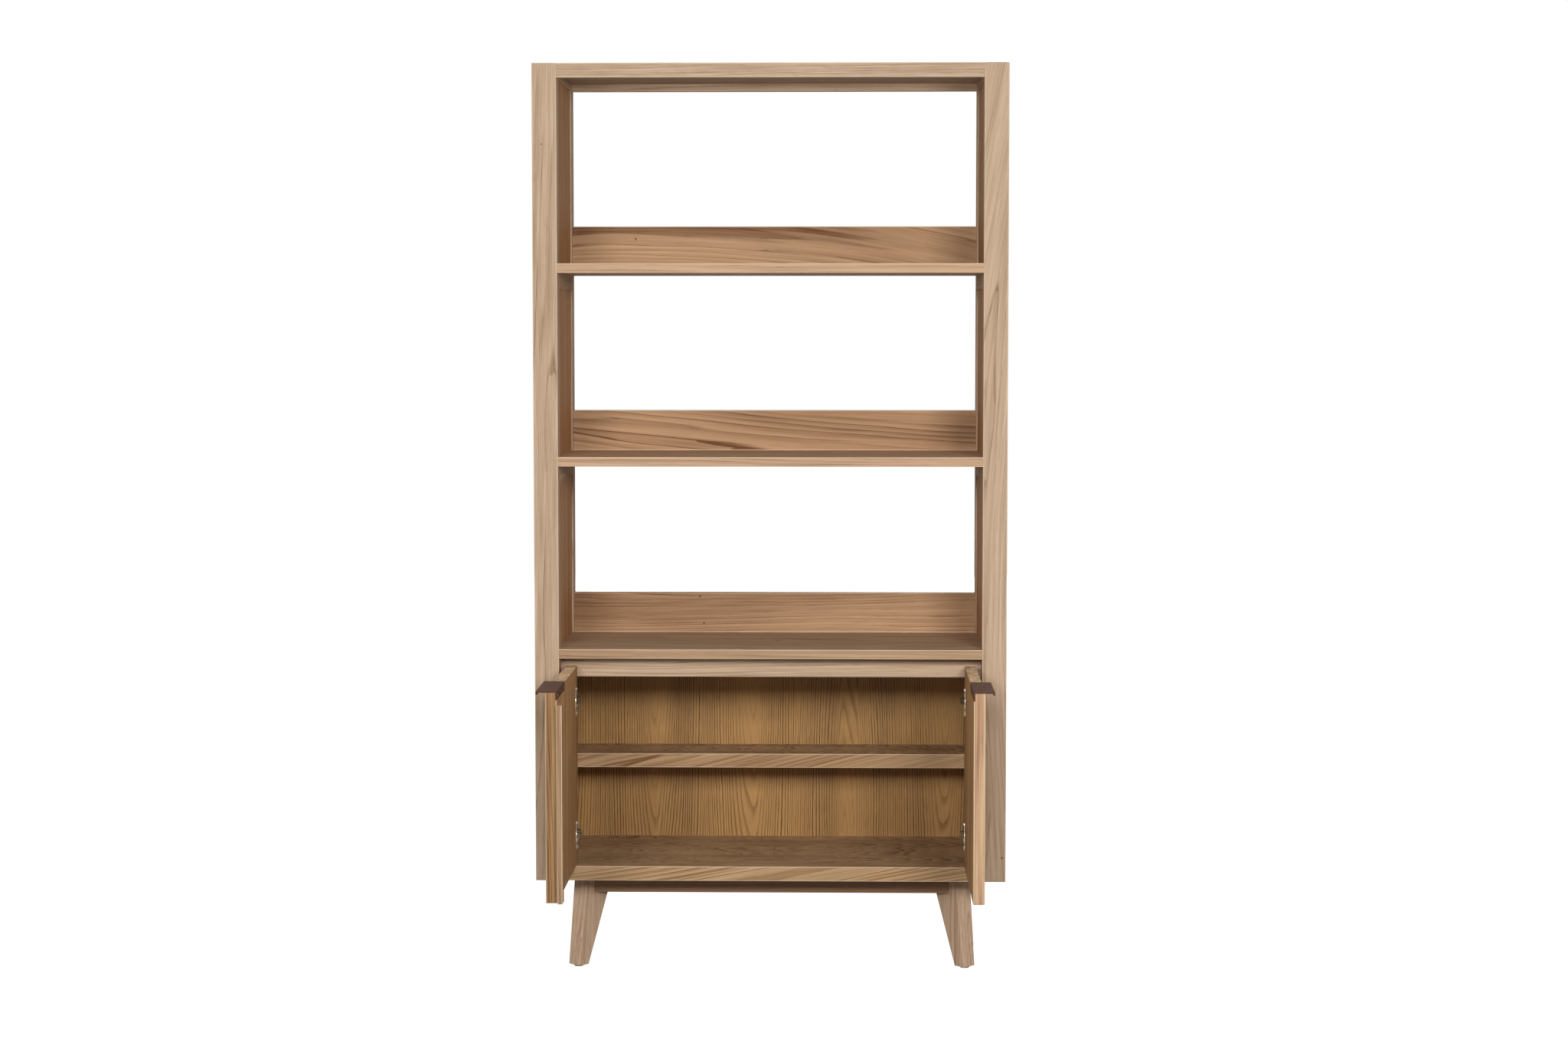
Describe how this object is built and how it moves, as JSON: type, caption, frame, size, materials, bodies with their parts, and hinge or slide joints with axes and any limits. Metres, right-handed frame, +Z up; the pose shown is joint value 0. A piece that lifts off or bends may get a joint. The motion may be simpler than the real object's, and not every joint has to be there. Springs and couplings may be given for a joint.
{
  "type": "bookcase with cabinet doors",
  "caption": "Tall open-backed wooden bookcase on tapered splayed legs, with low back lips on its shelves and a cabinet below behind inset hinged doors, shown open.",
  "frame": {"origin": "on the floor, below the middle of the whole shape at rest, with both doors standing open square to the front", "axes": "+Z up, the front of the bookcase faces -Y, +X to the right of someone who looks at the front"},
  "size_m": [0.9, 0.732, 1.74],
  "materials": {
    "case_wood": "matt clear lacquer over light tan hardwood",
    "door_wood": "matt clear lacquer over light tan hardwood",
    "leg_wood": "matt clear lacquer over light tan hardwood",
    "back_veneer": "satin lacquer over slip-matched oak-like veneer",
    "handle_metal": "dark brown satin powder coat",
    "hinge_nickel": "nickel plated",
    "screw_steel": "zinc plated",
    "dowel_beech": "plain fluted beech",
    "glide_plastic": "moulded"
  },
  "bodies": {
    "case": {"apron_back": "leg_wood", "apron_front": "leg_wood", "apron_left": "leg_wood", "apron_right": "leg_wood", "back_panel_screws": "screw_steel", "bottom_rail_left": "case_wood", "bottom_rail_right": "case_wood", "cabinet_back_panel": "back_veneer", "cabinet_bottom": "case_wood", "cabinet_top": "case_wood", "cabinet_top_cleat_left": "case_wood", "cabinet_top_cleat_right": "case_wood", "foot_glides": "glide_plastic", "frame_dowels": "dowel_beech", "gallery_lower": "case_wood", "gallery_middle": "case_wood", "gallery_upper": "case_wood", "header_rail": "case_wood", "hinge_arms": "hinge_nickel", "hinge_plates": "hinge_nickel", "hinge_stile_left": "case_wood", "hinge_stile_right": "case_wood", "inner_shelf": "case_wood", "inner_shelf_cleat_left": "case_wood", "inner_shelf_cleat_right": "case_wood", "leg_back_left": "leg_wood", "leg_back_right": "leg_wood", "leg_bolts": "screw_steel", "leg_front_left": "leg_wood", "leg_front_right": "leg_wood", "middle_cleat_left": "case_wood", "middle_cleat_right": "case_wood", "plate_screws": "screw_steel", "post_back_left": "case_wood", "post_back_right": "case_wood", "post_front_left": "case_wood", "post_front_right": "case_wood", "shelf_middle": "case_wood", "shelf_screws": "screw_steel", "shelf_upper": "case_wood", "side_panel_left": "case_wood", "side_panel_right": "case_wood", "top_panel": "case_wood", "top_rail_back": "case_wood", "top_rail_front": "case_wood", "top_rail_left": "case_wood", "top_rail_right": "case_wood", "upper_cleat_left": "case_wood", "upper_cleat_right": "case_wood"},
    "door_left": {"door_panel_left": "door_wood", "door_handle_left": "handle_metal", "rebate_strip": "door_wood", "hinge_cups_left": "hinge_nickel", "hinge_pins_left": "hinge_nickel", "door_screws_left": "screw_steel"},
    "door_right": {"door_panel_right": "door_wood", "door_handle_right": "handle_metal", "hinge_cups_right": "hinge_nickel", "hinge_pins_right": "hinge_nickel", "door_screws_right": "screw_steel"}
  },
  "joints": [
    {"name": "door_left_hinge", "type": "hinge", "parent": "case", "child": "door_left", "pos_m": [-0.383, 0.0255, 0.403], "axis": [0, 0, -1], "range_deg": [-90, 5]},
    {"name": "door_right_hinge", "type": "hinge", "parent": "case", "child": "door_right", "pos_m": [0.383, 0.0255, 0.403], "axis": [0, 0, 1], "range_deg": [-90, 5]}
  ]
}
